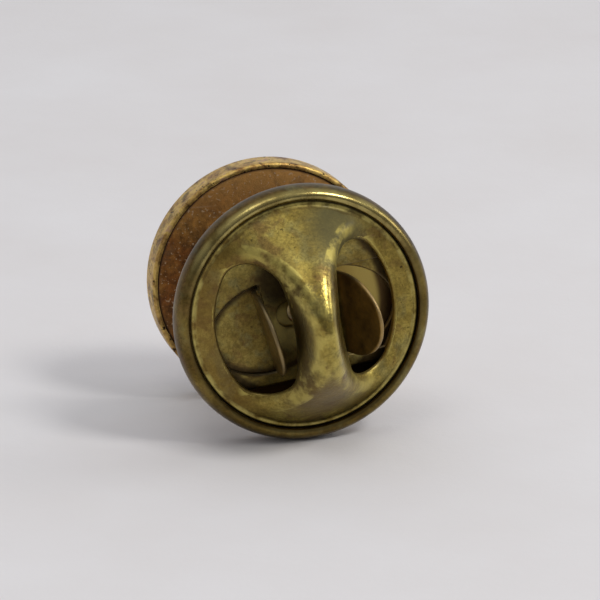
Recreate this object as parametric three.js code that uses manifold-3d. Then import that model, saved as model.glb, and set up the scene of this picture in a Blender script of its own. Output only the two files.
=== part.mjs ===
// Round enamel lapel pin with a butterfly clutch, in millimetres with +Z up.
// The post runs along +Y: the enamelled front faces -Y and the clutch sits at the +Y end.
// The pin lies on the clutch's rim, which touches z = 0, and y = 0 is the middle of its length.
import * as THREE from 'three';
import { mergeVertices } from 'three/addons/utils/BufferGeometryUtils.js';
import Module from 'manifold-3d';

const wasm = await Module();
wasm.setup();

// ---- Driving dimensions: badge ----
const badgeDiameter = 10.75;
const badgeThickness = 1.45;
const badgeEdgeRound = 0.28;      // radius of the worn outer edge, front and back
const backLipWidth = 0.22;        // metal lip left standing round the back plate
const backPlateThickness = 0.25;
const backPlateRecess = 0.06;     // back plate below the lip
const plateGap = 0.03;            // play between the back plate and its seat

// ---- Driving dimensions: enamel ----
const frontRimWidth = 0.45;
const borderWidth = 0.9;          // enamel ring next to the rim
const wallWidth = 0.17;           // metal walls between the colours
const enamelDepth = 0.4;          // pocket depth
const enamelSink = 0.04;          // enamel surface below the metal
const enamelGap = 0.02;           // hair gap round each fill
const petalCount = 6;
const petalWidth = 1.25;
const petalToBorder = 0.3;        // ground colour left between a petal's wall and the ring
const heartRadius = 0.8;

// ---- Driving dimensions: post ----
const postDiameter = 1.1;
const postPointRoom = 1.31;       // from the point to the inside of the bridge
const postTaper = 1.5;            // length of the point
const postTipDiameter = 0.3;
const grooveDepth = 0.1;
const grooveLength = 0.7;
const padDiameter = 2.2;          // round pad that the post is brazed on by
const padThickness = 0.2;
const filletWidth = 0.35;         // braze showing outside the pad
const brazeGap = 0.02;

// ---- Driving dimensions: clutch ----
const garmentGap = 4.65;          // from the badge's lip to the clutch's underside
const clutchDiameter = 11.5;
const clutchHeight = 1.3;         // from the underside to the cap's flat
const baseSheet = 0.28;
const rollWidth = 0.6;            // rolled rim, from its lip's edge to the outside
const lipHeight = 0.18;           // lip above the cap's flat
const postHolePlay = 0.2;         // round the post in the clutch's hole
const funnelWidth = 0.45;         // countersink that guides the post in
const capSheet = 0.3;
const capInset = 0.07;            // cap's edge held under the lip
const bridgeHeight = 4.1;
const bridgeWidth = 2.2;          // strip left between the two openings, at its waist
const bridgeWaist = 0.045;        // growth of its half width towards the feet, per mm²
const bridgeCrown = 1.45;         // half width at which the crown has dropped to half
const bridgeFlare = 0.13;         // growth of that half width towards the feet, per mm²
const bridgeShoulder = 2.5;       // power of the crown's fall, rounder when low
const shoulderFlare = 0.15;       // growth of that power towards the feet, per mm²
const bridgeFootRoom = 0.2;       // from the end of the bridge's foot to the lip
const openingLength = 5.9;        // along the bridge
const openingLand = 1.15;         // flat left between an opening and the lip
const openingFlatten = 0.6;       // centre of an opening's outer arc, past the post's axis
const openingCorner = 0.8;        // beside the bridge
const clutchTurn = 9;             // degrees that the clutch is turned on the post

// ---- Driving dimensions: spring leaves ----
const leafSheet = 0.2;
const leafPlay = 0.04;            // above and below each leaf
const leafWidth = 6.0;            // across the slide direction
const leafEndPlay = 0.3;          // from a leaf's end to the rim, past its travel
const squeezeTravel = 0.27;       // of each leaf
const gripGap = 0.02;             // from the post to the jaw
const wingRoom = 0.13;            // from a squeezed wing to the bridge
const wingBend = 0.15;            // inside radius
const wingHeight = 2.3;           // tip above the cap's flat
const wingDrop = 0.4;             // wings sit this far below the post's axis
const upperLean = 2;              // degrees outward, as the upper leaf's wing is bent
const upperTwist = 8;             // degrees that this wing is twisted about its root
const lowerLean = 20;             // degrees outward, as the lower leaf's wing is bent
const wingLength = 3.8;           // along the bridge
const leafEndBand = 0.38;         // left outside a leaf's window
const windowPlay = 0.12;          // from a wing's end to its window

const roundSteps = 48;            // facets round the big discs
const petalSteps = 12;

// ---- Places along the post, from the front of the badge ----
const backPlateTop = badgeThickness - backPlateRecess;
const capFlat = badgeThickness + garmentGap + clutchHeight;
const totalLength = capFlat + bridgeHeight;
const axisHeight = clutchDiameter / 2;

// ---- Materials ----
function metal(colour, roughness) {
  return new THREE.MeshStandardMaterial({ color: colour, roughness, metalness: 1 });
}
function enamel(colour) {
  return new THREE.MeshStandardMaterial({ color: colour, roughness: 0.12, metalness: 0 });
}
const gilt = metal(0xb08a50, 0.42);
const copper = metal(0x6e4324, 0.6);
const agedBrass = metal(0x86753c, 0.36);
const leafBrass = metal(0x8d7f45, 0.42);
const steel = metal(0x9a9488, 0.35);
const braze = metal(0x8f8a80, 0.5);
const borderBlue = enamel(0x16305e);
const groundIvory = enamel(0xe9e2cc);
const petalRed = enamel(0x9e1f22);
const heartGold = enamel(0xd9a21b);

// ---- Solids ----
// A closed geometry becomes a solid: its seams are merged and its flat triangles dropped.
function solidOf(geometry) {
  geometry.deleteAttribute('normal');
  geometry.deleteAttribute('uv');
  const merged = mergeVertices(geometry, 1e-4);
  const index = merged.index.array;
  const kept = [];
  for (let i = 0; i < index.length; i += 3) {
    const [a, b, c] = index.slice(i, i + 3);
    if (a !== b && b !== c && c !== a) kept.push(a, b, c);
  }
  const mesh = new wasm.Mesh({
    numProp: 3,
    vertProperties: new Float32Array(merged.attributes.position.array),
    triVerts: new Uint32Array(kept),
  });
  return new wasm.Manifold(mesh);
}

function geometryOf(solid) {
  const mesh = solid.getMesh();
  const geometry = new THREE.BufferGeometry();
  geometry.setAttribute('position', new THREE.BufferAttribute(mesh.vertProperties, 3));
  geometry.setIndex(new THREE.BufferAttribute(mesh.triVerts, 1));
  return geometry;
}

// A turned solid about the post's axis; points are [radius, place along the post].
function turned(points, steps = roundSteps) {
  const profile = points.map(([r, y]) => new THREE.Vector2(r, y));
  return solidOf(new THREE.LatheGeometry(profile, steps));
}

// A flat outline in x and z, as a solid from one place along the post to another.
function slab(shape, from, to, steps = 12) {
  const geometry = new THREE.ExtrudeGeometry(shape, {
    depth: to - from, bevelEnabled: false, curveSegments: steps,
  });
  geometry.rotateX(Math.PI / 2);
  geometry.translate(0, to, 0);
  return solidOf(geometry);
}

function disc(radius, from, to, steps = roundSteps) {
  return turned([[0, from], [radius, from], [radius, to], [0, to]], steps);
}

// A rectangle with rounded corners, from x0 to x1 and as far each way in z.
function roundedRectangle(x0, x1, halfZ, corner) {
  const shape = new THREE.Shape();
  shape.moveTo(x0 + corner, -halfZ);
  shape.lineTo(x1 - corner, -halfZ);
  shape.absarc(x1 - corner, -halfZ + corner, corner, -Math.PI / 2, 0);
  shape.lineTo(x1, halfZ - corner);
  shape.absarc(x1 - corner, halfZ - corner, corner, 0, Math.PI / 2);
  shape.lineTo(x0 + corner, halfZ);
  shape.absarc(x0 + corner, halfZ - corner, corner, Math.PI / 2, Math.PI);
  shape.lineTo(x0, -halfZ + corner);
  shape.absarc(x0 + corner, -halfZ + corner, corner, Math.PI, 1.5 * Math.PI);
  return shape;
}

function piece(name, solid, material) {
  const mesh = new THREE.Mesh(geometryOf(solid), material);
  mesh.name = name;
  return mesh;
}

// Points of a circular or elliptical arc, as [radius, place] pairs.
function arc(centreR, centreY, halfR, halfY, startDegrees, endDegrees, steps) {
  const points = [];
  for (let i = 0; i <= steps; i += 1) {
    const a = THREE.MathUtils.degToRad(startDegrees + ((endDegrees - startDegrees) * i) / steps);
    points.push([centreR + halfR * Math.cos(a), centreY + halfY * Math.sin(a)]);
  }
  return points;
}

// ---- Badge: struck shell, enamel fills and back plate ----
const badgeRadius = badgeDiameter / 2;
const borderOuter = badgeRadius - frontRimWidth;
const borderInner = borderOuter - borderWidth;
const groundRadius = borderInner - wallWidth;
const heartWallRadius = heartRadius + wallWidth;
const petalInner = heartWallRadius;
const petalOuter = groundRadius - petalToBorder - wallWidth;
const petalMiddle = (petalInner + petalOuter) / 2;
const petalHalfLength = (petalOuter - petalInner) / 2;

// One ellipse-shaped petal, grown by the given amount, as a slab.
function petalSlab(index, grow, from, to) {
  const turn = (index * 2 * Math.PI) / petalCount;
  const shape = new THREE.Shape();
  shape.absellipse(
    petalMiddle * Math.cos(turn), petalMiddle * Math.sin(turn),
    petalHalfLength + grow, petalWidth / 2 + grow, 0, 2 * Math.PI, false, turn,
  );
  return slab(shape, from, to, petalSteps);
}

// Everything raised between the petals and the heart, grown from the colour cells.
function rosette(grow, from, to) {
  let solid = disc(heartRadius + grow, from, to, petalSteps);
  for (let i = 0; i < petalCount; i += 1) solid = solid.add(petalSlab(i, grow, from, to));
  return solid;
}

function badgeShell() {
  const seatRadius = badgeRadius - backLipWidth;
  const seatFloor = backPlateTop - backPlateThickness - plateGap;
  const edge = badgeEdgeRound;
  const body = turned([
    [0, enamelDepth], [groundRadius, enamelDepth], [groundRadius, 0],
    [borderInner, 0], [borderInner, enamelDepth], [borderOuter, enamelDepth], [borderOuter, 0],
    ...arc(badgeRadius - edge, edge, edge, edge, -90, 0, 4),
    ...arc(badgeRadius - edge / 2, badgeThickness - edge / 2, edge / 2, edge / 2, 0, 90, 3),
    [seatRadius, badgeThickness], [seatRadius, seatFloor], [0, seatFloor],
  ]);
  const overlap = enamelDepth + 0.05;
  const walls = rosette(wallWidth, 0, overlap).subtract(rosette(0, -1, enamelDepth));
  return body.add(walls);
}

function enamelRing(outer, inner) {
  return turned([
    [inner, enamelSink], [outer, enamelSink],
    [outer, enamelDepth - enamelGap], [inner, enamelDepth - enamelGap], [inner, enamelSink],
  ]);
}

const fillBack = enamelDepth - enamelGap;
const badge = new THREE.Group();
badge.add(piece('badge_shell', badgeShell(), gilt));
badge.add(piece('enamel_border', enamelRing(borderOuter - enamelGap, borderInner + enamelGap), borderBlue));
const ground = disc(groundRadius - enamelGap, enamelSink, fillBack);
badge.add(piece('enamel_ground', ground.subtract(rosette(wallWidth + enamelGap, -1, 1)), groundIvory));
for (let i = 0; i < petalCount; i += 1) {
  badge.add(piece(`enamel_petal_${i + 1}`, petalSlab(i, -enamelGap, enamelSink, fillBack), petalRed));
}
badge.add(piece('enamel_heart', disc(heartRadius - enamelGap, enamelSink, fillBack, petalSteps), heartGold));

const plateRadius = badgeRadius - backLipWidth - plateGap;
badge.add(piece('back_plate', disc(plateRadius, backPlateTop - backPlateThickness, backPlateTop), copper));

// ---- Post, brazed to the back plate by its pad ----
const postRadius = postDiameter / 2;
const padRadius = padDiameter / 2;
const padBottom = backPlateTop + brazeGap;
const padTop = padBottom + padThickness;
const postTip = totalLength - capSheet - postPointRoom;
const leafSpan = 2 * (leafSheet + leafPlay);
const jawMiddle = capFlat - clutchHeight + baseSheet + leafSpan / 2;
const grooveStart = jawMiddle - grooveLength / 2;
const grooveEnd = jawMiddle + grooveLength / 2;
const grooveRadius = postRadius - grooveDepth;

const postPoints = [
  [0, padBottom], [padRadius, padBottom], [padRadius, padTop], [postRadius, padTop],
  [postRadius, grooveStart - grooveDepth], [grooveRadius, grooveStart],
  [grooveRadius, grooveEnd], [postRadius, grooveEnd + grooveDepth],
  [postRadius, postTip - postTaper], [postTipDiameter / 2, postTip - postTipDiameter / 3],
  [0, postTip],
];
badge.add(piece('post', turned(postPoints, 24), steel));

const filletInner = padRadius + brazeGap;
const filletPoints = [
  [filletInner, padBottom],
  ...arc(filletInner + filletWidth, padTop, filletWidth, padThickness, 270, 180, 4),
  [filletInner, padBottom],
];
badge.add(piece('braze_fillet', turned(filletPoints, 24), braze));

// ---- Clutch base: dished sheet with its edge rolled over the cap ----
const clutch = new THREE.Group();
const clutchRadius = clutchDiameter / 2;
const lipRadius = clutchRadius - rollWidth;
const bridgeFoot = lipRadius - bridgeFootRoom;
const openingReach = lipRadius - openingLand;
const underside = capFlat - clutchHeight;
const baseFloor = underside + baseSheet;
const lipTop = capFlat + lipHeight;
const lipUnder = capFlat + leafPlay / 2;
const rollMiddle = (underside + lipTop) / 2;
const rollInside = rollWidth - baseSheet;

function clutchBase() {
  const hole = postRadius + postHolePlay;
  const lowerHalf = rollMiddle - baseFloor;
  const upperHalf = lipUnder - rollMiddle;
  return turned([
    [hole, underside + baseSheet / 2], [hole + funnelWidth, underside], [lipRadius, underside],
    ...arc(lipRadius, rollMiddle, rollWidth, lipTop - rollMiddle, -90, 90, 10),
    [lipRadius, lipUnder],
    ...arc(lipRadius, rollMiddle, rollInside, upperHalf, 90, 0, 4),
    ...arc(lipRadius, rollMiddle, rollInside, lowerHalf, 0, -90, 4),
    [hole, baseFloor], [hole, underside + baseSheet / 2],
  ]);
}
clutch.add(piece('clutch_base', clutchBase(), agedBrass));

// ---- Clutch cap: flat ring with a crowned bridge pressed up across it ----
// Height of the cap's outer face above its flat, at x and at z along the bridge.
function bridgeRise(x, z) {
  const window = Math.max(0, 1 - (x * x + z * z) / (bridgeFoot * bridgeFoot));
  const halfWidth = bridgeCrown + bridgeFlare * z * z;
  const power = bridgeShoulder + shoulderFlare * z * z;
  return (bridgeHeight * window ** 1.2) / (1 + (Math.abs(x) / halfWidth) ** power);
}

function bridgeNormal(x, z) {
  const step = 0.01;
  const slopeX = (bridgeRise(x + step, z) - bridgeRise(x - step, z)) / (2 * step);
  const slopeZ = (bridgeRise(x, z + step) - bridgeRise(x, z - step)) / (2 * step);
  return new THREE.Vector3(-slopeX, 1, -slopeZ).normalize();
}

// An opening, whose edge beside the bridge is a shallow parabola between rounded corners.
function cutOpening(side, from, to) {
  const [waist, end] = [bridgeWidth / 2, openingLength / 2];
  const straight = end - openingCorner;
  const [bow, corner] = [bridgeWaist * straight ** 2, waist + bridgeWaist * end ** 2];
  const shape = new THREE.Shape();
  shape.moveTo(clutchRadius, -end);
  shape.lineTo(clutchRadius, end);
  shape.lineTo(corner + openingCorner, end);
  shape.quadraticCurveTo(corner, end, waist + bow, straight);
  shape.quadraticCurveTo(waist - bow, 0, waist + bow, -straight);
  shape.quadraticCurveTo(corner, -end, corner + openingCorner, -end);
  const outer = disc(openingReach + openingFlatten, from, to).translate([-openingFlatten, 0, 0]);
  const cutter = slab(shape, from, to, 5).intersect(outer);
  return side > 0 ? cutter : cutter.rotate([0, 180, 0]);
}

function clutchCap() {
  const capRadius = lipRadius + capInset;
  const rings = 16;
  const radii = Array.from({ length: rings }, (_, i) => (capRadius * (i + 1)) / rings);
  const under = radii.map((r) => [r, -capSheet]);
  const over = radii.map((r) => [r, 0]).reverse();
  const profile = [[0, -capSheet], ...under, ...over, [0, 0]].map(([r, y]) => new THREE.Vector2(r, y));
  const sheet = new THREE.LatheGeometry(profile, roundSteps);
  const place = sheet.attributes.position;
  for (let i = 0; i < place.count; i += 1) {
    const [x, y, z] = [place.getX(i), place.getY(i), place.getZ(i)];
    const point = new THREE.Vector3(x, capFlat + bridgeRise(x, z), z);
    point.addScaledVector(bridgeNormal(x, z), y);
    place.setXYZ(i, point.x, point.y, point.z);
  }
  const below = capFlat - 2 * capSheet;
  const above = capFlat + bridgeHeight + 1;
  return solidOf(sheet)
    .subtract(cutOpening(1, below, above))
    .subtract(cutOpening(-1, below, above));
}
clutch.add(piece('clutch_cap', clutchCap(), agedBrass));

// ---- Spring leaves: each has a jaw that bears on the post and a wing to squeeze ----
const wingRoot = bridgeWidth / 2 + squeezeTravel + wingRoom;
const wingHalf = wingLength / 2;
const windowHalf = wingHalf + windowPlay;
const leafRadius = lipRadius - squeezeTravel - leafEndPlay;
const windowReach = leafRadius - leafEndBand;
const jawRadius = postRadius + gripGap;

// A wing about the middle of its root. Its section is a short flat, a bend and a blade.
function wingSolid(leafTop, outward) {
  const lean = THREE.MathUtils.degToRad(90 - outward);
  const bladeDirection = new THREE.Vector2(Math.cos(lean), Math.sin(lean));
  const bendSteps = 6;
  const inner = [];
  const outer = [];
  for (let i = 0; i <= bendSteps; i += 1) {
    const a = (lean * i) / bendSteps - Math.PI / 2;
    const [c, s] = [Math.cos(a), Math.sin(a)];
    inner.push(new THREE.Vector2(wingBend * c, leafTop + wingBend + wingBend * s));
    const far = wingBend + leafSheet;
    outer.push(new THREE.Vector2(far * c, leafTop + wingBend + far * s));
  }
  const blade = (capFlat + wingHeight + 1 - leafTop) / bladeDirection.y;
  const tipInner = inner.at(-1).clone().addScaledVector(bladeDirection, blade);
  const tipOuter = outer.at(-1).clone().addScaledVector(bladeDirection, blade);
  const flat = -leafSheet;
  const section = new THREE.Shape([
    new THREE.Vector2(flat, leafTop - leafSheet), ...outer, tipOuter,
    tipInner, ...inner.reverse(), new THREE.Vector2(flat, leafTop),
  ]);
  const strip = new THREE.ExtrudeGeometry(section, { depth: wingLength, bevelEnabled: false });
  strip.translate(0, 0, -wingHalf);

  // The blade's outline, seen from the side: a half ellipse above the cap's flat.
  const outline = new THREE.Shape();
  outline.moveTo(-wingHalf, leafTop - 1);
  outline.lineTo(wingHalf, leafTop - 1);
  outline.lineTo(wingHalf, capFlat);
  outline.absellipse(0, capFlat, wingHalf, wingHeight, 0, Math.PI);
  outline.lineTo(-wingHalf, leafTop - 1);
  const cutter = new THREE.ExtrudeGeometry(outline, {
    depth: 2 * clutchRadius, bevelEnabled: false, curveSegments: 14,
  });
  cutter.rotateY(Math.PI / 2);
  cutter.translate(-1, 0, 0);
  return solidOf(strip).intersect(solidOf(cutter));
}

// A leaf with its wing on the +X side. Its wing and its own window turn together about the
// middle of the wing's root, and the cross window lets the other leaf's wing through.
function leafSolid(leafBottom, { lean, twist, drop, crossed }) {
  const leafTop = leafBottom + leafSheet;
  const [from, to] = [leafBottom - 0.1, leafTop + 0.1];
  const corner = 0.3;
  const atRoot = (solid) => solid.rotate([0, twist, 0]).translate([wingRoot, 0, -drop]);
  const window = new THREE.Shape();
  window.moveTo(0, -windowHalf);
  window.absellipse(0, 0, windowReach - wingRoot, windowHalf, -Math.PI / 2, Math.PI / 2);
  window.lineTo(0, -windowHalf);
  const slotEnd = jawRadius + 2 * squeezeTravel;
  const slot = slab(roundedRectangle(-jawRadius, slotEnd, jawRadius, jawRadius * 0.999), from, to, 8);
  let leaf = slab(roundedRectangle(-leafRadius, leafRadius, leafWidth / 2, corner), leafBottom, leafTop, 4)
    .intersect(disc(leafRadius, from, to))
    .subtract(atRoot(slab(window, from, to, 14)))
    .subtract(slot);
  if (crossed) {
    const inner = wingRoot - 2 * squeezeTravel - windowPlay;
    const shape = roundedRectangle(-clutchRadius, -inner, windowHalf, corner);
    const cross = slab(shape, from, to, 4).translate([0, 0, -drop]);
    leaf = leaf.subtract(cross.intersect(disc(windowReach, from, to)));
  }
  return leaf.add(atRoot(wingSolid(leafTop, lean)));
}

const lowerLeafBottom = baseFloor + leafPlay;
const upperLeafBottom = lowerLeafBottom + leafSheet + leafPlay;
const upperShape = { lean: upperLean, twist: upperTwist, drop: wingDrop, crossed: true };
const lowerShape = { lean: lowerLean, twist: 0, drop: -wingDrop, crossed: false };
clutch.add(piece('jaw_leaf_upper', leafSolid(upperLeafBottom, upperShape), leafBrass));
const lowerLeaf = leafSolid(lowerLeafBottom, lowerShape).rotate([0, 180, 0]);
clutch.add(piece('jaw_leaf_lower', lowerLeaf, leafBrass));
clutch.rotation.y = THREE.MathUtils.degToRad(clutchTurn);

// ---- Assembly ----
const group = new THREE.Group();
group.add(badge, clutch);
group.position.set(0, -totalLength / 2, axisHeight);
export default group;
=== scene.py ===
"""Round enamel lapel pin lying on its side, with its butterfly clutch towards the viewer."""
import math

import bmesh
import bpy
from mathutils import Matrix, Vector, noise


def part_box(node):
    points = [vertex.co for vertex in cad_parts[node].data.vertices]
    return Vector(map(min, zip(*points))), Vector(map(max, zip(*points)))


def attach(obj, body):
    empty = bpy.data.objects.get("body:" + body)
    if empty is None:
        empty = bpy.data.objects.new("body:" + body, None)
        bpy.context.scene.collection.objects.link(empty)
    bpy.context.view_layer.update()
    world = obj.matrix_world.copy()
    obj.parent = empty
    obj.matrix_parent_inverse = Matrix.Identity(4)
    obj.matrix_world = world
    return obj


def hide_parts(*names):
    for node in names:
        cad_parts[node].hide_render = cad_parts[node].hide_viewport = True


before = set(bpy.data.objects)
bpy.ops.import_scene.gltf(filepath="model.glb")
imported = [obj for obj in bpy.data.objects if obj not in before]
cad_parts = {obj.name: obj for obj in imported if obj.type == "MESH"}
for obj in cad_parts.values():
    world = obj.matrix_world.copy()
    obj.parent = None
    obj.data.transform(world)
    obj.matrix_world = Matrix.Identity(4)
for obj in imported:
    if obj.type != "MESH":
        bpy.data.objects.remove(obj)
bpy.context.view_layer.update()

# ---------------------------------------------------------------- badge shell
# A disc of gilding brass, struck in a die: a rim and thin walls stand up on the front to hold
# the enamel, and a lip on the back holds the back plate. The gilding has worn off the edge.
MM = 0.001
clutch_low, clutch_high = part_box("clutch_base")
axis_height = (clutch_low.z + clutch_high.z) / 2
badge_low, badge_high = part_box("badge_shell")
front_y = badge_low.y
badge_radius = (badge_high.x - badge_low.x) / 2 / MM
badge_thickness = (badge_high.y - badge_low.y) / MM
border_low, border_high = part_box("enamel_border")
border_outer = (border_high.x - border_low.x) / 2 / MM + 0.02
border_width = 0.9
wall = 0.17
pocket_depth = 0.4
ground_radius = border_outer - border_width - wall
heart_radius = 0.8
petal_count = 6
petal_half_width = 0.625
petal_inner = heart_radius + wall
petal_outer = ground_radius - 0.3 - wall
petal_middle = (petal_inner + petal_outer) / 2
petal_half_length = (petal_outer - petal_inner) / 2


def placed(y, turn=0.0):
    """From a piece's own millimetres, with Z along the post, to its place in metres."""
    return (Matrix.Translation((0, y, axis_height)) @ Matrix.Rotation(turn, 4, "Y")
            @ Matrix.Rotation(-math.pi / 2, 4, "X") @ Matrix.Scale(MM, 4))


def arc(r, z, half_r, half_z, start, end, steps):
    """Points of an arc as (radius, height), with its angles in degrees."""
    angles = [math.radians(start + (end - start) * i / steps) for i in range(steps + 1)]
    return [(r + half_r * math.cos(a), z + half_z * math.sin(a)) for a in angles]


def spun(points, steps=192):
    """A turned solid from a profile of (radius, height) points."""
    bm = bmesh.new()
    verts = [bm.verts.new((r, 0, z)) for r, z in points]
    edges = [bm.edges.new(pair) for pair in zip(verts, verts[1:])]
    bmesh.ops.spin(bm, geom=verts + edges, cent=(0, 0, 0), axis=(0, 0, 1), dvec=(0, 0, 0),
                   angle=2 * math.pi, steps=steps, use_merge=True, use_duplicate=False)
    bmesh.ops.remove_doubles(bm, verts=bm.verts, dist=1e-4)
    return bm


def piece(name, bm, place, material, body, slot, *nodes, sharp=40):
    """A finished piece: placed, smooth, riding on its body and standing for its CAD nodes."""
    bmesh.ops.recalc_face_normals(bm, faces=bm.faces)
    mesh = bpy.data.meshes.new(name)
    bm.to_mesh(mesh)
    bm.free()
    mesh.transform(place)
    mesh.shade_smooth()
    mesh.set_sharp_from_angle(angle=math.radians(sharp))
    mesh.materials.append(material)
    made = bpy.data.objects.new(name, mesh)
    bpy.context.scene.collection.objects.link(made)
    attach(made, body)
    if nodes:
        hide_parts(*nodes)
    return made


class Finish:
    """A material whose nodes are added one call at a time."""

    def __init__(self, name):
        self.material = bpy.data.materials.new(name)
        self.material.use_nodes = True
        self.tree = self.material.node_tree
        self.shader = self.tree.nodes["Principled BSDF"]
        self.place = self.add("ShaderNodeTexCoord").outputs["Object"]

    def add(self, kind, settings=None, **inputs):
        node = self.tree.nodes.new(kind)
        for key, value in (settings or {}).items():
            setattr(node, key, value)
        for key, value in inputs.items():
            self.put(node.inputs[key.replace("_", " ")], value)
        return node

    def put(self, socket, value):
        if isinstance(value, bpy.types.NodeSocket):
            self.tree.links.new(value, socket)
        else:
            socket.default_value = value

    def noise(self, scale, detail=4.0, roughness=0.6, distortion=0.0):
        """Mottling whose features are about 1 / scale metres across."""
        return self.add("ShaderNodeTexNoise", Vector=self.place, Scale=scale, Detail=detail,
                        Roughness=roughness, Distortion=distortion).outputs["Fac"]

    def ramp(self, value, *stops):
        """Colours or grey levels at the given places from 0 to 1."""
        node = self.add("ShaderNodeValToRGB", Fac=value)
        while len(node.color_ramp.elements) < len(stops):
            node.color_ramp.elements.new(0.5)
        for element, (position, colour) in zip(node.color_ramp.elements, stops):
            element.position = position
            grey = not hasattr(colour, "__len__")
            element.color = (colour, colour, colour, 1) if grey else (*colour, 1)
        return node.outputs["Color"]

    def mix(self, factor, a, b, blend="MIX"):
        node = self.add("ShaderNodeMix", {"data_type": "RGBA", "blend_type": blend})
        self.put(node.inputs["Factor"], factor)
        for socket, value in ((node.inputs[6], a), (node.inputs[7], b)):
            self.put(socket, value if isinstance(value, bpy.types.NodeSocket) else (*value, 1))
        return node.outputs[2]

    def math(self, operation, a, b=0.0):
        node = self.add("ShaderNodeMath", {"operation": operation})
        self.put(node.inputs[0], a)
        self.put(node.inputs[1], b)
        return node.outputs[0]

    def bump(self, height, distance, strength=1.0, under=None):
        node = self.add("ShaderNodeBump", Height=height, Distance=distance, Strength=strength)
        if under is not None:
            self.put(node.inputs["Normal"], under)
        return node.outputs["Normal"]

    def along(self):
        """Place along the post."""
        return self.add("ShaderNodeSeparateXYZ", Vector=self.place).outputs["Y"]

    def height(self):
        """Height above the table's level."""
        return self.add("ShaderNodeSeparateXYZ", Vector=self.place).outputs["Z"]

    def fade(self, value, start, end):
        """A smooth change from 0 at start to 1 at end."""
        node = self.add("ShaderNodeMapRange", {"interpolation_type": "SMOOTHSTEP"}, Value=value)
        node.inputs["From Min"].default_value = start
        node.inputs["From Max"].default_value = end
        return node.outputs["Result"]

    def radius(self, x=0.0, z=axis_height):
        """Distance from a line along the post, by default its axis."""
        flat = self.add("ShaderNodeMapping", Vector=self.place, Location=(-x, 0, -z),
                        Scale=(1, 0, 1))
        length = self.add("ShaderNodeVectorMath", {"operation": "LENGTH"})
        self.put(length.inputs[0], flat.outputs[0])
        return length.outputs["Value"]

    def spot(self, x, z, inner, outer):
        """A blurred spot about a line along the post: 1 within, 0 outside."""
        return self.fade(self.radius(x, z), outer, inner)

    def marked(self, attribute):
        """A value that a piece's own mesh carries."""
        return self.add("ShaderNodeAttribute", {"attribute_name": attribute}).outputs["Fac"]

    def surface(self, **inputs):
        for key, value in inputs.items():
            self.put(self.shader.inputs[key.replace("_", " ")], value)
        return self.material


def gilt_brass():
    finish = Finish("gilt_brass")
    blotches = finish.noise(1500, 6, 0.68, 0.4)
    grain = finish.noise(9000, 3)
    gold = finish.ramp(blotches, (0.34, (0.22, 0.11, 0.034)), (0.45, (0.47, 0.29, 0.085)),
                       (0.55, (0.66, 0.46, 0.13)), (0.66, (0.52, 0.31, 0.18)))
    grime = finish.ramp(finish.noise(1900, 5, 0.7), (0.36, 0.35), (0.50, 1.0))
    colour = finish.mix(1.0, gold, grime, "MULTIPLY")
    pits = finish.ramp(finish.noise(3400, 2, 0.5), (0.29, 0.0), (0.34, 1.0))
    colour = finish.mix(pits, (0.05, 0.028, 0.010), colour)
    rough = finish.ramp(grain, (0.3, 0.34), (0.7, 0.55))
    bumps = finish.bump(blotches, 0.00005, 0.5)
    bumps = finish.bump(grain, 0.00002, 0.6, bumps)
    bumps = finish.bump(pits, 0.00005, 0.8, bumps)
    return finish.surface(Base_Color=colour, Metallic=0.85, Roughness=rough, Normal=bumps)


gilt = gilt_brass()


def petal_outline(bm, index, grow, z):
    """Adds the flat outline of one petal, a turned ellipse."""
    ring = bmesh.ops.create_circle(bm, cap_ends=True, radius=1, segments=64)["verts"]
    stretch = Matrix.Diagonal((petal_half_length + grow, petal_half_width + grow, 1, 1))
    turn = Matrix.Rotation(index * 2 * math.pi / petal_count, 4, "Z")
    shift = Matrix.Translation((petal_middle, 0, z))
    bmesh.ops.transform(bm, matrix=turn @ shift @ stretch, verts=ring)


def cushion_fill(bm, height, inset, lift):
    """Thickens flat faces upwards and rounds their top edge off as poured enamel does."""
    faces = bm.faces[:]
    grown = bmesh.ops.extrude_face_region(bm, geom=faces, use_keep_orig=True)["geom"]
    top = [v for v in grown if isinstance(v, bmesh.types.BMVert)]
    bmesh.ops.translate(bm, verts=top, vec=(0, 0, -height))
    crown = [f for f in grown if isinstance(f, bmesh.types.BMFace)]
    for step in range(3):
        bmesh.ops.inset_region(bm, faces=crown, thickness=inset, depth=lift / (step + 1) ** 2)


def band(r_inner, r_outer, z_top, z_bottom, soft):
    """Profile of a raised ring, closed, with softened top edges; z grows towards the back."""
    return [(r_inner, z_bottom),
            *arc(r_inner + soft, z_top + soft, soft, soft, 180, 270, 5),
            *arc(r_outer - soft, z_top + soft, soft, soft, 270, 360, 5),
            (r_outer, z_bottom)]


lip = 0.22
lip_round = 0.03
seat_floor = 1.11
front_round = 0.28
back_round = 0.14
wall_round = 0.04
rim_round = 0.05
wall_root = 0.02
shell_profile = [
    (0, pocket_depth),
    *band(ground_radius, border_outer - border_width, 0, pocket_depth, wall_round),
    (border_outer, pocket_depth),
    *arc(border_outer + rim_round, rim_round, rim_round, rim_round, 180, 270, 5),
    *arc(badge_radius - front_round, front_round, front_round, front_round, -90, 0, 10),
    *arc(badge_radius - back_round, badge_thickness - back_round, back_round, back_round,
         0, 90, 8),
    *arc(badge_radius - lip + lip_round, badge_thickness - lip_round, lip_round, lip_round,
         90, 180, 3),
    (badge_radius - lip, seat_floor), (0, seat_floor),
]
piece("badge_body", spun(shell_profile), placed(front_y), gilt, "badge", "gilt_brass",
      "badge_shell")


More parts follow.
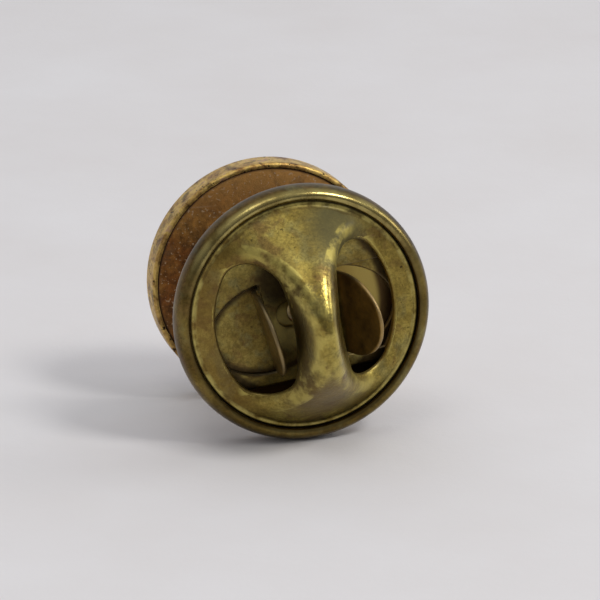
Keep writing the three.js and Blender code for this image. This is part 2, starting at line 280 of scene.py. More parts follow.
def petal_wall(index):
    """The wall round one petal: a ring whose profile follows an ellipse."""
    ring = band(1, 1 + wall, 0, pocket_depth + wall_root, wall_round)
    bm = spun(ring + ring[:1], 96)
    for vert in bm.verts:
        beyond = vert.co.xy.length - 1
        way = vert.co.xy.normalized()
        out = Vector((way.x * petal_half_width, way.y * petal_half_length)).normalized()
        vert.co.x = petal_middle + way.x * petal_half_length + out.x * beyond
        vert.co.y = way.y * petal_half_width + out.y * beyond
    turn = Matrix.Rotation(index * 2 * math.pi / petal_count, 4, "Z")
    bmesh.ops.transform(bm, matrix=turn, verts=bm.verts)
    return bm


for index in range(petal_count):
    piece(f"petal_wall_{index + 1}", petal_wall(index), placed(front_y), gilt, "badge",
          "gilt_brass")
heart_wall = band(heart_radius, heart_radius + wall, 0, pocket_depth + wall_root, wall_round)
piece("heart_wall", spun(heart_wall + heart_wall[:1], 96), placed(front_y), gilt, "badge",
      "gilt_brass")

# ---------------------------------------------------------------- enamel
# Ground glass fired into the struck cells, a little below the metal, with a soft meniscus.
# Blue fills the border, ivory the ground, red the petals and gold the heart.
def vitreous(name, colour, deep):
    finish = Finish(name)
    tint = finish.ramp(finish.noise(700, 4), (0.35, deep), (0.65, colour))
    waves = finish.bump(finish.noise(500, 2), 0.00003, 0.25)
    return finish.surface(Base_Color=tint, Roughness=0.08, Coat_Weight=0.6,
                          Coat_Roughness=0.03, Normal=waves)


border_blue = vitreous("enamel_blue", (0.020, 0.055, 0.230), (0.010, 0.030, 0.150))
ground_ivory = vitreous("enamel_ivory", (0.80, 0.74, 0.58), (0.70, 0.62, 0.45))
petal_red = vitreous("enamel_red", (0.45, 0.020, 0.025), (0.28, 0.010, 0.015))
heart_gold = vitreous("enamel_gold", (0.75, 0.42, 0.04), (0.60, 0.30, 0.02))

sink = 0.04
gap = 0.02
meniscus = 0.03
meniscus_width = 0.15
square = 0.05
petal_gap = 0.005
petal_rise = 0.02
petal_inset = 0.03
petal_lift = -0.008


def enamel_ring(r_inner, r_outer):
    """A ring of enamel whose face is highest midway and dips to its walls."""
    middle = (r_inner + r_outer) / 2
    half = (r_outer - r_inner) / 2
    face = [(middle + half * t, sink + meniscus * abs(t) ** 6) for t in
            [-1 + 2 * i / 24 for i in range(25)]]
    back = pocket_depth - gap
    return [(r_inner, back), *face, (r_outer, back), (r_inner, back)]


piece("blue_border", spun(enamel_ring(border_outer - border_width + gap, border_outer - gap)),
      placed(front_y), border_blue, "badge", "enamel_blue", "enamel_border")


def enamel_disc(radius):
    face = [(radius * i / 16, sink + meniscus * (i / 16) ** 6) for i in range(17)]
    return [*face, (radius, pocket_depth - gap), (0, pocket_depth - gap)]


piece("gold_heart", spun(enamel_disc(heart_radius - gap), 96), placed(front_y), heart_gold,
      "badge", "enamel_gold", "enamel_heart")


def cut_sheet(half_x, half_y, edge, x_middle=0.0):
    """A flat sheet of small squares, cut to an outline given as distances to its edge."""
    bm = bmesh.new()
    across, down = round(half_x / square), round(half_y / square)
    bmesh.ops.create_grid(bm, x_segments=2 * across, y_segments=2 * down, size=1)
    bmesh.ops.scale(bm, vec=(across * square, down * square, 1), verts=bm.verts)
    bmesh.ops.translate(bm, vec=(x_middle, 0, 0), verts=bm.verts)
    outside = [f for f in bm.faces if edge(*f.calc_center_median().xy) < 0]
    bmesh.ops.delete(bm, geom=outside, context="FACES")
    rim = [v for v in bm.verts if v.is_boundary]
    step = square * 0.1
    for vert in rim:
        for _ in range(3):
            x, y = vert.co.xy
            slope = Vector((edge(x + step, y) - edge(x - step, y),
                            edge(x, y + step) - edge(x, y - step)))
            if slope.length > 1e-9:
                vert.co.xy -= edge(x, y) * slope.normalized()
    inner = {e.other_vert(v) for v in rim for e in v.link_edges} - set(rim)
    for _ in range(3):
        bmesh.ops.smooth_vert(bm, verts=list(inner), factor=0.5, use_axis_x=True,
                              use_axis_y=True, use_axis_z=True)
    return bm


def ground_edge(x, y):
    """Distance to the edge of the ground, which lies between the petals' walls and its own."""
    reach = math.hypot(x, y)
    room = wall + gap
    inside = min(ground_radius - gap - reach, reach - heart_radius - room)
    for index in range(petal_count):
        turn = index * 2 * math.pi / petal_count
        along = x * math.cos(turn) + y * math.sin(turn) - petal_middle
        aside = y * math.cos(turn) - x * math.sin(turn)
        petal = math.hypot(along / (petal_half_length + room), aside / (petal_half_width + room))
        inside = min(inside, (petal - 1) * (petal_half_width + room))
    return inside


def ground_fill():
    bm = cut_sheet(ground_radius, ground_radius, ground_edge)
    bmesh.ops.translate(bm, verts=bm.verts, vec=(0, 0, pocket_depth - gap))
    fresh = bmesh.ops.extrude_face_region(bm, geom=bm.faces[:], use_keep_orig=True)["geom"]
    for vert in [v for v in fresh if isinstance(v, bmesh.types.BMVert)]:
        dip = max(1 - ground_edge(*vert.co.xy) / meniscus_width, 0)
        vert.co.z = sink + meniscus * dip * dip
    return bm


piece("ivory_ground", ground_fill(), placed(front_y), ground_ivory, "badge", "enamel_ivory",
      "enamel_ground")
for index in range(petal_count):
    bm = bmesh.new()
    petal_outline(bm, index, -petal_gap, pocket_depth - gap)
    cushion_fill(bm, pocket_depth - gap - sink + petal_rise, petal_inset, petal_lift)
    piece(f"red_petal_{index + 1}", bm, placed(front_y), petal_red, "badge", "enamel_red",
          f"enamel_petal_{index + 1}")

# ---------------------------------------------------------------- back plate
# A thin copper disc pressed into the back of the shell. It has gone a dull rust brown, with
# fine bright specks where bare metal shows, and a dark line of dirt runs round its seam.
# Its upper part is lighter with painted light.
plate_low, plate_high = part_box("back_plate")
plate_radius = (plate_high.x - plate_low.x) / 2 / MM
plate_thickness = (plate_high.y - plate_low.y) / MM
plate_round = 0.06


def rusty_copper():
    finish = Finish("copper")
    clouds = finish.noise(480, 6, 0.62)
    grain = finish.noise(8000, 4, 0.7)
    colour = finish.ramp(clouds, (0.32, (0.11, 0.035, 0.008)), (0.48, (0.20, 0.070, 0.012)),
                         (0.66, (0.33, 0.145, 0.027)))
    olive = finish.ramp(finish.noise(260, 4, 0.6), (0.46, 0.0), (0.62, 0.6))
    colour = finish.mix(olive, colour, (0.27, 0.140, 0.030))
    mottle = finish.ramp(finish.noise(3600, 3, 0.7), (0.3, 0.45), (0.7, 1.55))
    colour = finish.mix(1.0, colour, mottle, "MULTIPLY")
    # Painted light: the plate grows lighter towards its top.
    painted_top_light = finish.fade(finish.height(), axis_height + 2.2 * MM, axis_height + 5.2 * MM)
    colour = finish.mix(finish.math("MULTIPLY", painted_top_light, 0.75), colour, (0.60, 0.32, 0.090))
    dull = finish.ramp(finish.noise(900, 5, 0.7, 0.8), (0.54, 0.0), (0.68, 0.75))
    colour = finish.mix(dull, colour, (0.16, 0.085, 0.036))
    specks = finish.ramp(finish.noise(6400, 2, 0.6), (0.61, 0.0), (0.68, 0.8))
    colour = finish.mix(specks, colour, (0.56, 0.40, 0.24))
    scratch = finish.add("ShaderNodeMapping", Vector=finish.place, Rotation=(0, 0.9, 0),
                         Scale=(300, 1, 5200))
    scratches = finish.add("ShaderNodeTexNoise", Vector=scratch.outputs[0], Scale=1.0,
                           Detail=2.0).outputs["Fac"]
    scratches = finish.ramp(scratches, (0.66, 0.0), (0.72, 0.6))
    colour = finish.mix(scratches, colour, (0.40, 0.23, 0.10))
    dirt = finish.fade(finish.radius(), (plate_radius - 0.12) * MM, plate_radius * MM)
    colour = finish.mix(dirt, colour, (0.045, 0.020, 0.008))
    rough = finish.ramp(grain, (0.3, 0.40), (0.7, 0.66))
    return finish.surface(Base_Color=colour, Metallic=0.55, Roughness=rough,
                          Normal=finish.bump(grain, 0.00003, 0.8))


plate_profile = [
    (0, 0), (plate_radius, 0),
    *arc(plate_radius - plate_round, plate_thickness - plate_round, plate_round, plate_round,
         0, 90, 5),
    *[(plate_radius * k, plate_thickness) for k in (0.9, 0.7, 0.5, 0.3)], (0, plate_thickness),
]
piece("copper_back", spun(plate_profile), placed(plate_low.y), rusty_copper(), "badge",
      "copper", "back_plate")

# ---------------------------------------------------------------- post
# A drawn brass post with a turned groove and a point, headed to a round pad that is brazed
# to the back plate.
post_low, post_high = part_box("post")
post_length = (post_high.y - post_low.y) / MM
pad_radius = (post_high.x - post_low.x) / 2 / MM
pad_thickness = 0.2
post_radius = 0.55
groove_low, groove_high = 4.96, 5.66
groove_radius = post_radius - 0.1
groove_slope = 0.12
point_length = 1.5
tip_round = 0.14
pad_round = 0.05
neck_round = 0.1


def drawn_brass():
    finish = Finish("post_metal")
    lines = finish.add("ShaderNodeMapping", Vector=finish.place, Scale=(9000, 500, 9000))
    streaks = finish.add("ShaderNodeTexNoise", Vector=lines.outputs[0], Scale=1.0, Detail=3.0)
    colour = finish.ramp(finish.noise(800, 4), (0.35, (0.30, 0.22, 0.09)),
                         (0.65, (0.52, 0.42, 0.20)))
    rough = finish.ramp(streaks.outputs["Fac"], (0.3, 0.25), (0.7, 0.42))
    return finish.surface(Base_Color=colour, Metallic=1.0, Roughness=rough,
                          Normal=finish.bump(streaks.outputs["Fac"], 0.00001, 0.5))


post_profile = [
    (0, 0), (pad_radius - 0.03, 0),
    *arc(pad_radius - pad_round, pad_thickness - pad_round, pad_round, pad_round, 0, 90, 4),
    *arc(post_radius + neck_round, pad_thickness + neck_round, neck_round, neck_round,
         270, 180, 4),
    (post_radius, groove_low - groove_slope),
    (groove_radius, groove_low), (groove_radius, groove_high),
    (post_radius, groove_high + groove_slope), (post_radius, post_length - point_length),
    *arc(0, post_length - tip_round, tip_round, tip_round, 20, 90, 5),
]
piece("pointed_post", spun(post_profile, 96), placed(post_low.y), drawn_brass(), "badge",
      "post_metal", "post")

# ---------------------------------------------------------------- braze
# A dull silver ring of braze that ran out round the post's pad and froze with a wavy edge.
braze_low, braze_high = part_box("braze_fillet")
braze_radius = (braze_high.x - braze_low.x) / 2 / MM
braze_height = (braze_high.y - braze_low.y) / MM


def dull_braze():
    finish = Finish("braze")
    colour = finish.ramp(finish.noise(2500, 4), (0.35, (0.20, 0.17, 0.13)),
                         (0.65, (0.45, 0.42, 0.38)))
    return finish.surface(Base_Color=colour, Metallic=0.9, Roughness=0.5,
                          Normal=finish.bump(finish.noise(6000, 3), 0.00003, 0.6))


weld_gap = 0.01
braze_inner = pad_radius + weld_gap
fillet = braze_radius - braze_inner
braze = spun([(braze_inner, 0),
              *arc(braze_inner + fillet, braze_height, fillet, braze_height, 270, 180, 8),
              (braze_inner, 0)], 96)
for vert in braze.verts:
    spread = vert.co.xy.length - braze_inner
    wave = 0.25 * noise.noise(Vector((vert.co.x, vert.co.y, 3.0)) * 1.6) - 0.12
    if spread > weld_gap:
        vert.co.xy = vert.co.xy.normalized() * (braze_inner + spread * (1 + wave))
piece("braze_ring", braze, placed(braze_low.y), dull_braze(), "badge", "braze", "braze_fillet")

# ---------------------------------------------------------------- clutch base
# A dished brass plate with a funnelled hole for the post. Its edge is rolled right over the
# edge of the cap, which leaves a fat round rim with a dark seam inside it.
clutch_turn = math.radians(9)
clutch_radius = 5.75
base_sheet = 0.28
roll = 0.6
lip_radius = clutch_radius - roll
clutch_height = 1.3
lip_rise = 0.18
underside_y = clutch_low.y
flat_y = underside_y + clutch_height * MM


def patina(finish, dark, middle, light, scale):
    """Brass gone olive and brown, with a fine speckle; the scale is that of its clouds."""
    clouds = finish.noise(scale, 6, 0.62, 0.5)
    colour = finish.ramp(clouds, (0.30, dark), (0.50, middle), (0.70, light))
    green = finish.ramp(finish.noise(scale * 2.3, 4, 0.6, 0.3), (0.50, 0.0), (0.64, 0.35))
    colour = finish.mix(green, colour, (0.17, 0.18, 0.09))
    brown = finish.ramp(finish.noise(scale * 1.7, 5, 0.65, 0.8), (0.53, 0.0), (0.66, 0.7))
    colour = finish.mix(brown, colour, (0.15, 0.085, 0.028))
    speckle = finish.ramp(finish.noise(7500, 3, 0.75), (0.33, 0.68), (0.5, 1.0), (0.66, 1.3))
    colour = finish.mix(1.0, colour, speckle, "MULTIPLY")
    specks = finish.ramp(finish.noise(3900, 3, 0.6), (0.27, 0.0), (0.33, 1.0))
    return finish.mix(specks, finish.mix(0.25, (0.03, 0.02, 0.007), colour), colour)


def handled_brass():
    """The rim and dish: browner than the cap, worn bright at the roll's crest with a painted
    highlight towards the top, and painted shade on the dish's floor.
    """
    finish = Finish("handled_brass")
    colour = patina(finish, (0.042, 0.023, 0.004), (0.095, 0.059, 0.012), (0.21, 0.146, 0.034), 380)
    out = finish.radius()
    inside = finish.fade(out, (lip_radius + 0.08) * MM, (lip_radius - 0.02) * MM)
    inside = finish.math("MULTIPLY", inside, finish.fade(finish.along(), underside_y + 0.1 * MM,
                                                         underside_y + 0.25 * MM))
    # Painted shade: the dish's floor goes dark near its corner under the rim and towards the bottom.
    corner = finish.fade(finish.radius(0.2 * MM), 3.7 * MM, 4.0 * MM)
    painted_low_shade = finish.fade(finish.height(), axis_height - 1.5 * MM, axis_height - 2.1 * MM)
    painted_shade = finish.math("MAXIMUM", corner, painted_low_shade)
    floor = finish.mix(painted_shade, (0.40, 0.305, 0.088), (0.080, 0.048, 0.018))
    colour = finish.mix(inside, colour, floor)
    gutter = finish.fade(out, (lip_radius + 0.22) * MM, (lip_radius + 0.06) * MM)
    gutter = finish.math("MULTIPLY", gutter, finish.fade(finish.along(), flat_y, flat_y + 0.02 * MM))
    colour = finish.mix(finish.math("MULTIPLY", gutter, 0.75), colour, (0.060, 0.038, 0.012))
    # The roll's crest is worn bright, and a painted highlight makes it brighter towards the top.
    rubbed_and_lit = finish.fade(finish.along(), underside_y + 1.12 * MM, underside_y + 1.40 * MM)
    patches = finish.ramp(finish.noise(800, 4, 0.6), (0.36, 0.25), (0.58, 0.90))
    painted_top_highlight = finish.ramp(finish.fade(finish.height(), axis_height, 2 * axis_height),
                         (0.0, 0.18), (0.8, 1.0))
    rubbed_and_lit = finish.math("MULTIPLY", rubbed_and_lit, finish.math("MULTIPLY", patches, painted_top_highlight))
    outside = finish.mix(rubbed_and_lit, colour, (0.42, 0.34, 0.12))
    colour = finish.mix(inside, outside, colour)
    grain = finish.noise(9000, 3, 0.65)
    rough = finish.ramp(rubbed_and_lit, (0.0, 0.36), (0.8, 0.20))
    bumps = finish.bump(finish.noise(1400, 3, 0.5), 0.00004, 0.35)
    return finish.surface(Base_Color=colour, Metallic=0.98, Roughness=rough,
                          Normal=finish.bump(grain, 0.00001, 0.5, bumps))


roll_middle = (clutch_height + lip_rise) / 2
lip_under = clutch_height + 0.02
crest_radius = lip_radius + 0.2
crest_drop = 0.13
hole_radius = 0.75
funnel_depth = 0.16
funnel_edge = 0.1
funnel_edge_depth = 0.06
funnel_width = 0.45
hem = 0.02
hem_rise = 0.014
base_profile = [
    (hole_radius, funnel_depth), (hole_radius + funnel_edge, funnel_edge_depth),
    (hole_radius + funnel_width, 0), (lip_radius, 0),
    *arc(lip_radius, roll_middle, roll, roll_middle, -90, 0, 16),
    *arc(crest_radius, roll_middle, clutch_radius - crest_radius, roll_middle, 4, 86, 16),
    *arc(crest_radius, 2 * roll_middle - crest_drop, crest_radius - lip_radius, crest_drop, 90,
         176, 8),
    *arc(lip_radius + hem, lip_under + hem_rise, hem, hem_rise, 160, 270, 3),
    *arc(lip_radius, roll_middle, roll - base_sheet, lip_under - roll_middle, 75, 0, 6),
    *arc(lip_radius, roll_middle, roll - base_sheet, roll_middle - base_sheet, 0, -90, 6),
    (hole_radius, base_sheet), (hole_radius, funnel_depth),
]
piece("clutch_dish", spun(base_profile, 256), placed(underside_y, clutch_turn), handled_brass(),
      "clutch", "aged_brass", "clutch_base")

# ---------------------------------------------------------------- clutch cap
# A brass disc with two D-shaped openings. The strip between them is pressed up into a tall
# crowned bridge, under which the post's point ends.
cap_sheet = 0.3
bridge_height = (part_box("clutch_cap")[1].y - flat_y) / MM
bridge_half = 1.1
bridge_waist = 0.045
bridge_crown = 1.45
bridge_flare = 0.13
bridge_shoulder = 2.5
shoulder_flare = 0.15
bridge_foot = lip_radius - 0.2
opening_half = 2.95
opening_flatten = 0.6
opening_reach = lip_radius - 1.15
opening_corner = 0.8
seam_depth = 0.04
seam_start = 0.12
seam_width = 0.10
curl_width = 0.95
curl_depth = 0.56
curl_onset = 0.9


def rounded_box(x, y, half_x, half_y, corner):
    """Distance inside a rounded rectangle about the origin, positive within."""
    qx, qy = abs(x) - half_x + corner, abs(y) - half_y + corner
    outside = math.hypot(max(qx, 0), max(qy, 0))
    return corner - outside - min(max(qx, qy), 0)


def soft_least(a, b, blend):
    """The smaller of two distances, with the corner between them rounded."""
    share = max(blend - abs(a - b), 0) / blend
    return min(a, b) - share * share * blend / 4


def opening_edge(x, y):
    """Distance to the edge of the nearer opening, positive inside it."""
    far = abs(x) - (bridge_half + bridge_waist * y * y + 4)
    opening = rounded_box(far, y, 4, opening_half, opening_corner)
    outer = opening_reach + opening_flatten - math.hypot(abs(x) + opening_flatten, y)
    return soft_least(opening, outer, 0.5)


def rise(x, y):
    """Height of the cap's outer face above its flat. Raised metal curls down at a cut edge."""
    radius = math.hypot(x, y)
    window = max(0.0, 1 - (radius / bridge_foot) ** 2)
    crown = bridge_crown + bridge_flare * y * y
    seam = min(max((radius - lip_radius + seam_start) / seam_width, 0), 1)
    power = bridge_shoulder + shoulder_flare * y * y
    raised = bridge_height * window ** 1.2 / (1 + (abs(x) / crown) ** power)
    curl = max(1 + opening_edge(x, y) / curl_width, 0) ** 2
    return (raised - curl_depth * curl * math.tanh(raised / curl_onset)
            - seam_depth * seam * seam * (3 - 2 * seam))


def cap_edge(x, y):
    """Distance to the nearest edge of the cap's sheet, positive on the metal."""
    return min(lip_radius + 0.06 - math.hypot(x, y), -opening_edge(x, y))


def thickened(bm, sheet, outline, surface, soft=0.12):
    """Gives a cut sheet its thickness below a surface, with its cut edges worn round.

    The mesh then carries cut_edge, 1 at a cut edge, and its crest, above 0.5 on raised bends.
    """
    cut_edge = bm.verts.layers.float.new("cut_edge")
    crest = bm.verts.layers.float.new("crest")
    fresh = bmesh.ops.extrude_face_region(bm, geom=bm.faces[:], use_keep_orig=True)["geom"]
    upper = {v for v in fresh if isinstance(v, bmesh.types.BMVert)}
    for vert in bm.verts:
        x, y = vert.co.xy
        depth = min(max(outline(x, y), 0) / soft, 1)
        vert[cut_edge] = 1 - depth
        half = sheet / 2 * (0.35 + 0.65 * math.sqrt(1 - (1 - depth) ** 2))
        point, normal = surface(x, y)
        vert.co = point + normal * ((half if vert in upper else -half) - sheet / 2)
    bmesh.ops.recalc_face_normals(bm, faces=bm.faces)
    for vert in bm.verts:
        bends = [edge.calc_face_angle_signed(0) for edge in vert.link_edges]
        vert[crest] = min(max(0.5 + 12 * sum(bends) / len(bends), 0), 1)


def cap_surface(x, y):
    step = 0.01
    slope_x = (rise(x + step, y) - rise(x - step, y)) / (2 * step)
    slope_y = (rise(x, y + step) - rise(x, y - step)) / (2 * step)
    return Vector((x, y, rise(x, y))), Vector((-slope_x, -slope_y, 1)).normalized()


def across_bridge(finish):
    """Place across the bridge, which is turned about the post with the clutch."""
    turned = finish.add("ShaderNodeMapping", Vector=finish.place, Rotation=(0, -clutch_turn, 0))
    level = finish.add("ShaderNodeSeparateXYZ", Vector=turned.outputs[0]).outputs["X"]
    return finish.math("ADD", level, axis_height * math.sin(clutch_turn))


def aged_brass():
    """Olive on the flat, with a dirty seam at the rim, smoother up the bridge, and painted shade and
    highlights on its flank and bends.
    """
    finish = Finish("aged_brass")
    colour = patina(finish, (0.140, 0.092, 0.018), (0.285, 0.210, 0.044), (0.44, 0.35, 0.085), 420)
    out = finish.radius()
    # Painted shade: one flank of the bridge is darkened up its height.
    painted_flank_shade = finish.math("MULTIPLY", finish.fade(across_bridge(finish), 0.35 * MM, 0.95 * MM),
                        finish.fade(finish.along(), flat_y + 1.2 * MM, flat_y + 2.4 * MM))
    colour = finish.mix(finish.math("MULTIPLY", painted_flank_shade, 0.8), colour, (0.070, 0.045, 0.011))
    left = finish.fade(across_bridge(finish), 1.5 * MM, 4.5 * MM)
    colour = finish.mix(finish.math("MULTIPLY", left, 0.5), colour, (0.19, 0.108, 0.026))
    tarnish = finish.spot(-1.2 * MM, axis_height + 4.0 * MM, 0.5 * MM, 2.2 * MM)
    colour = finish.mix(finish.math("MULTIPLY", tarnish, 0.9), colour, (0.105, 0.092, 0.040))
    # Painted shade: the bridge's lower limb is darkened.
    painted_limb_shade = finish.spot(-0.2 * MM, axis_height - 3.2 * MM, 0.6 * MM, 1.9 * MM)
    colour = finish.mix(finish.math("MULTIPLY", painted_limb_shade, 0.7), colour, (0.160, 0.100, 0.030))
    patches = finish.ramp(finish.noise(1300, 4, 0.6), (0.42, 0.0), (0.60, 0.75))
    crest = finish.marked("crest")
    sound = finish.fade(finish.marked("cut_edge"), 0.02, 0)
    # Painted highlight: raised bends away from cut edges turn bright yellow in patches.
    painted_ridge_highlight = finish.math("MULTIPLY", finish.fade(crest, 0.66, 0.90), patches)
    painted_ridge_highlight = finish.math("MULTIPLY", painted_ridge_highlight, sound)
    colour = finish.mix(painted_ridge_highlight, colour, (0.56, 0.46, 0.12))
    # Painted shade: hollow bends are darkened.
    painted_crease_shade = finish.math("MULTIPLY", finish.fade(crest, 0.47, 0.30), sound)
    colour = finish.mix(finish.math("MULTIPLY", painted_crease_shade, 0.5), colour, (0.075, 0.048, 0.012))
    edge = finish.fade(out, (lip_radius - 0.34) * MM, (lip_radius - 0.20) * MM)
    colour = finish.mix(finish.math("MULTIPLY", edge, patches), colour, (0.52, 0.43, 0.13))
    seam = finish.fade(out, (lip_radius - 0.13) * MM, (lip_radius - 0.03) * MM)
    colour = finish.mix(seam, colour, (0.042, 0.027, 0.009))
    # Cut edges are worn bright, and a painted highlight on them adds to it.
    bright = finish.math("MULTIPLY", finish.marked("cut_edge"), 0.5)
    colour = finish.mix(bright, colour, (0.46, 0.38, 0.15))
    grain = finish.noise(9000, 3, 0.65)
    rub = finish.fade(finish.along(), flat_y + 1.0 * MM, flat_y + 3.2 * MM)
    rough = finish.ramp(rub, (0.0, 0.44), (1.0, 0.27))
    rough = finish.math("ADD", rough, finish.math("MULTIPLY", tarnish, 0.22))
    bumps = finish.bump(finish.noise(1100, 3, 0.5), 0.00006, 0.35)
    bumps = finish.bump(finish.noise(3600, 4, 0.7), 0.00002, 0.4, bumps)
    return finish.surface(Base_Color=colour, Metallic=0.94, Roughness=rough, Coat_Weight=0.08,
                          Coat_Roughness=0.18, Normal=finish.bump(grain, 0.000015, 0.7, bumps))


cap = cut_sheet(lip_radius + 0.1, lip_radius + 0.1, cap_edge)
thickened(cap, cap_sheet, cap_edge, cap_surface)
piece("bridged_cap", cap, placed(flat_y, clutch_turn), aged_brass(), "clutch", "aged_brass",
      "clutch_cap", sharp=70)

# ---------------------------------------------------------------- spring leaves
# Two leaves of hard spring brass slide across each other under the cap. Each has a slot
# whose end bears on the post, and a D-shaped wing lanced out of it and bent up to squeeze.
leaf_sheet = 0.2
leaf_play = 0.04
leaf_half = 3.0
travel = 0.27
wing_root = bridge_half + travel + 0.13
wing_half = 1.9
wing_bend = 0.15
wing_height = 2.3
wing_drop = 0.4
wing_tail = 0.08
wing_soft = 0.08
leaf_soft = 0.06
upper_bend = {"lean": math.radians(2), "twist": math.radians(8), "drop": wing_drop}
lower_bend = {"lean": math.radians(20), "twist": 0.0, "drop": -wing_drop}
leaf_radius = lip_radius - travel - 0.3
jaw_radius = post_radius + 0.02
window_play = 0.12
window_corner = 0.3
window_half = wing_half + window_play
window_reach = leaf_radius - 0.38


def share_of_window(finish):
    """Distance from the upper wing's root, 1 all round the edge of its window."""
    turn = clutch_turn + upper_bend["twist"]
    root = Matrix.Rotation(clutch_turn, 3, "Y") @ Vector((wing_root, 0, -wing_drop)) * MM
    window = finish.add("ShaderNodeMapping", {"vector_type": "TEXTURE"}, Vector=finish.place,
                        Location=root + Vector((0, 0, axis_height)), Rotation=(0, turn, 0),
                        Scale=((window_reach - wing_root) * MM, 1, window_half * MM))
    length = finish.add("ShaderNodeVectorMath", {"operation": "LENGTH"})
    finish.put(length.inputs[0], window.outputs[0])
    return length.outputs["Value"]


def speckled_brass():
    """Speckled where the leaf lies flat, dark brown up the wings, bright along worn cut edges with a
    painted highlight; painted light and shade in places.
    """
    finish = Finish("leaf_brass")
    colour = patina(finish, (0.15, 0.100, 0.022), (0.28, 0.206, 0.050), (0.43, 0.345, 0.094), 700)
    # Painted light: a bright patch round the post, where the post also rubs the leaf.
    rubbed_and_lit = finish.spot(0.5 * MM, axis_height - 0.7 * MM, 0.5 * MM, 1.2 * MM)
    colour = finish.mix(finish.math("MULTIPLY", rubbed_and_lit, 0.7), colour, (0.78, 0.62, 0.20))
    # Painted shade: a spot beside the bridge, a band under the cap's opening edges and a painted
    # shadow round the wing's window.
    shade = finish.spot(1.0 * MM, axis_height + 1.5 * MM, 0.7 * MM, 1.5 * MM)
    edge = finish.fade(finish.radius(0.2 * MM, axis_height + 0.25 * MM), 3.72 * MM, 4.0 * MM)
    reach = share_of_window(finish)
    painted_window_shadow = finish.math("MULTIPLY", finish.fade(reach, 0.83, 0.96), finish.fade(reach, 1.08, 1.0))
    painted_shade = finish.math("MAXIMUM", finish.math("MAXIMUM", shade, edge), painted_window_shadow)
    colour = finish.mix(finish.math("MULTIPLY", painted_shade, 0.88), colour, (0.040, 0.023, 0.009))
    up = finish.fade(finish.along(), underside_y + 0.78 * MM, underside_y + 1.15 * MM)
    brown = finish.ramp(finish.noise(900, 5, 0.65), (0.35, (0.105, 0.060, 0.016)),
                        (0.65, (0.270, 0.170, 0.045)))
    # Painted light: on the bridge's -X side the wing's brown is a lit copy, nearly twice as bright.
    inner = finish.fade(across_bridge(finish), 0, -MM)
    brown = finish.mix(inner, brown, finish.mix(1.0, brown, (1.9, 1.8, 1.6), "MULTIPLY"))
    colour = finish.mix(up, colour, brown)
    # Cut edges are worn bright, and a painted highlight on them adds to it.
    bright = finish.math("MULTIPLY", finish.marked("cut_edge"), finish.ramp(up, (0.0, 0.65), (1.0, 0.4)))
    colour = finish.mix(bright, colour, (0.36, 0.30, 0.17))
    mottle = finish.noise(4200, 4, 0.7)
    rough = finish.ramp(mottle, (0.3, 0.32), (0.7, 0.5))
    return finish.surface(Base_Color=colour, Metallic=0.85, Roughness=rough,
                          Normal=finish.bump(mottle, 0.00002, 0.5))


def root_place(bend):
    """From a wing's own place, about the middle of its root, to its place on the leaf."""
    return (Matrix.Translation((wing_root, bend["drop"], 0))
            @ Matrix.Rotation(bend["twist"], 4, "Z"))


def leaf_edge(x, y, bend, crossed):
    """Distance to a leaf's edge, with its wing on the +X side."""
    body = soft_least(leaf_radius - math.hypot(x, y), leaf_half - abs(y), 0.3)
    u, v, _ = root_place(bend).inverted() @ Vector((x, y, 0))
    reach = window_reach - wing_root
    own = min(u, (1 - math.hypot(u / reach, v / window_half)) * min(reach, window_half))
    slot = jaw_radius - math.hypot(x - min(max(x, 0), 2 * travel), y)
    holes = max(own, slot)
    if crossed:
        inner = wing_root - 2 * travel - window_play
        span = (window_reach - inner) / 2
        cross = rounded_box(x + inner + span, y - bend["drop"], span, window_half,
                            window_corner)
        holes = max(holes, min(cross, window_reach - math.hypot(x, y)))
    return min(body, -holes)


def wing_surface(s, y, lean):
    """A point up the wing: round the bend and then straight, leaning out."""
    radius = wing_bend + leaf_sheet / 2
    full = math.pi / 2 - lean
    angle = min(max(s, 0) / radius, full)
    rest = max(s - radius * full, 0) + min(s, 0)
    normal = Vector((-math.sin(angle), 0, math.cos(angle)))
    along = Vector((math.cos(angle), 0, math.sin(angle)))
    point = Vector((0, y, wing_bend)) - normal * wing_bend + along * rest
    return point, normal


def leaf(name, bottom, bend, crossed, turned, body, node):
    """One leaf with its wing, each cut from flat sheet, with its face at the given height."""
    top = bottom + leaf_sheet
    cap_above = clutch_height - top
    wing_length = (cap_above + wing_height) / math.cos(bend["lean"]) + 0.1

    def outline(x, y):
        return leaf_edge(x, y, bend, crossed)

    def flat(x, y):
        return Vector((x, y, 0)), Vector((0, 0, 1))

    def bent(s, y):
        return wing_surface(s, y, bend["lean"])

    def wing_outline(s, y):
        up = max(bent(s, y)[0].z - cap_above, 0) / wing_height
        return min(s + wing_tail, (1 - math.hypot(up, y / wing_half)) * wing_half)

    bm = cut_sheet(leaf_radius + 0.1, leaf_half + 0.1, outline)
    thickened(bm, leaf_sheet, outline, flat, leaf_soft)
    blade = cut_sheet(wing_length / 2 + 0.1, wing_half + 0.1, wing_outline, wing_length / 2)
    thickened(blade, leaf_sheet, wing_outline, bent, wing_soft)
    bmesh.ops.transform(blade, matrix=root_place(bend), verts=blade.verts)
    merged = bpy.data.meshes.new("blade")
    blade.to_mesh(merged)
    blade.free()
    bm.from_mesh(merged)
    bpy.data.meshes.remove(merged)
    turn = Matrix.Rotation(math.pi if turned else 0, 4, "Z")
    bmesh.ops.transform(bm, matrix=turn @ Matrix.Translation((0, 0, top)), verts=bm.verts)
    piece(name, bm, placed(underside_y, clutch_turn), leaf_brass, body, "leaf_brass", node,
          sharp=70)


leaf_brass = speckled_brass()
lower = base_sheet + leaf_play
leaf("upper_leaf", lower + leaf_sheet + leaf_play, upper_bend, True, False, "upper_jaw",
     "jaw_leaf_upper")
leaf("lower_leaf", lower, lower_bend, False, True, "lower_jaw", "jaw_leaf_lower")

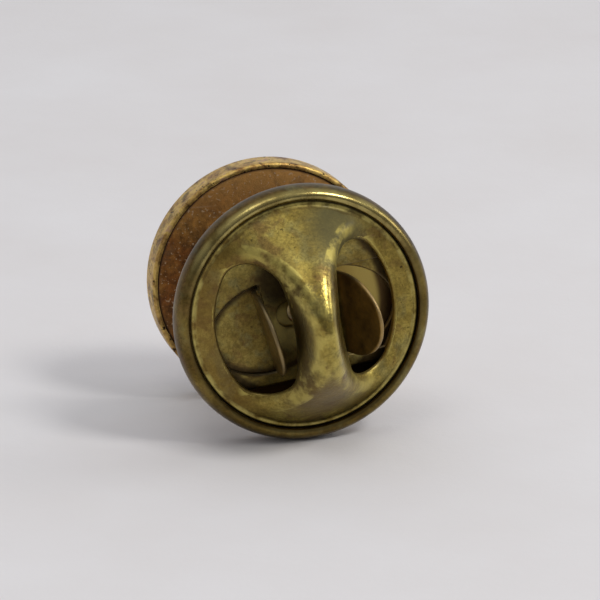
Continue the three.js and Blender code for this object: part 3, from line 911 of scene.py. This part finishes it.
# ---------------------------------------------------------------- table, light and camera
# Pale paper under the clutch's rim and the badge's edge, a bright window above and to the
# right with a weaker one beside it, and the camera low behind the clutch.
badge_drop = axis_height - badge_radius * MM
rim_y = underside_y + roll_middle * MM
slope = badge_drop / (rim_y - front_y - front_round * MM)


def paper():
    finish = Finish("paper")
    fibres = finish.noise(1500, 6, 0.7)
    colour = finish.ramp(finish.noise(60, 4), (0.3, (0.68, 0.655, 0.65)),
                         (0.7, (0.72, 0.705, 0.71)))
    return finish.surface(Base_Color=colour, Roughness=0.9,
                          Normal=finish.bump(fibres, 0.00004, 0.35))


bm = bmesh.new()
bmesh.ops.create_grid(bm, x_segments=2, y_segments=2, size=0.6)
tilt = Matrix.Translation((0, rim_y, 0)) @ Matrix.Rotation(-math.atan(slope), 4, "X")
bmesh.ops.transform(bm, matrix=tilt, verts=bm.verts)
mesh = bpy.data.meshes.new("table")
bm.to_mesh(mesh)
bm.free()
mesh.materials.append(paper())
table = bpy.data.objects.new("table", mesh)
bpy.context.scene.collection.objects.link(table)

azimuth, elevation, distance = math.radians(164.7), math.radians(15.9), 0.180
field = 0.0261
back = Vector((math.sin(azimuth) * math.cos(elevation), -math.cos(azimuth) * math.cos(elevation),
               math.sin(elevation)))
right = Vector((math.cos(azimuth), math.sin(azimuth), 0))
above = back.cross(right)
aim = Vector((0, flat_y, axis_height)) - right * 0.00021 + above * 0.00065
camera_data = bpy.data.cameras.new("camera")
camera_data.sensor_width = 36
camera_data.lens = 36 * distance / field
camera_data.clip_start = 0.001
camera_data.clip_end = 10
camera = bpy.data.objects.new("camera", camera_data)
camera.location = aim + back * distance
camera.rotation_euler = back.to_track_quat("Z", "Y").to_euler()
bpy.context.scene.collection.objects.link(camera)
bpy.context.scene.camera = camera


def softbox(name, direction, reach, size, power, colour=(1, 1, 1)):
    """A square area light that faces the pin from a direction given as across, up, near."""
    data = bpy.data.lights.new(name, "AREA")
    data.size, data.energy, data.color = size, power, colour
    light = bpy.data.objects.new(name, data)
    toward = (right * direction[0] + above * direction[1] + back * direction[2]).normalized()
    light.location = aim + toward * reach
    light.rotation_euler = toward.to_track_quat("Z", "Y").to_euler()
    bpy.context.scene.collection.objects.link(light)


softbox("window", (0.60, 0.64, 0.50), 0.35, 0.085, 0.46, (1.0, 0.99, 0.97))
softbox("side_window", (0.90, 0.42, -0.05), 0.35, 0.10, 0.17, (1.0, 0.99, 0.97))
softbox("skylight", (-0.15, 0.78, 0.60), 0.45, 0.16, 0.16, (1.0, 0.99, 0.97))

# The studio is brighter overhead and behind the pin than on the camera's side.
world = bpy.data.worlds.new("studio")
world.use_nodes = True
sky = world.node_tree.nodes
link = world.node_tree.links.new
facing = sky.new("ShaderNodeVectorMath")
facing.operation = "DOT_PRODUCT"
facing.inputs[1].default_value = (Vector((0, 0, 0.8)) - back * 0.5).normalized()
link(sky.new("ShaderNodeTexCoord").outputs["Generated"], facing.inputs[0])
level = sky.new("ShaderNodeMapRange")
level.inputs["From Min"].default_value = -0.6
level.inputs["From Max"].default_value = 1.0
level.inputs["To Min"].default_value = 0.12
level.inputs["To Max"].default_value = 0.81
link(facing.outputs["Value"], level.inputs["Value"])
link(level.outputs["Result"], sky["Background"].inputs["Strength"])
sky["Background"].inputs["Color"].default_value = (0.95, 0.96, 1.0, 1)
bpy.context.scene.world = world
bpy.context.scene.view_settings.view_transform = "Standard"
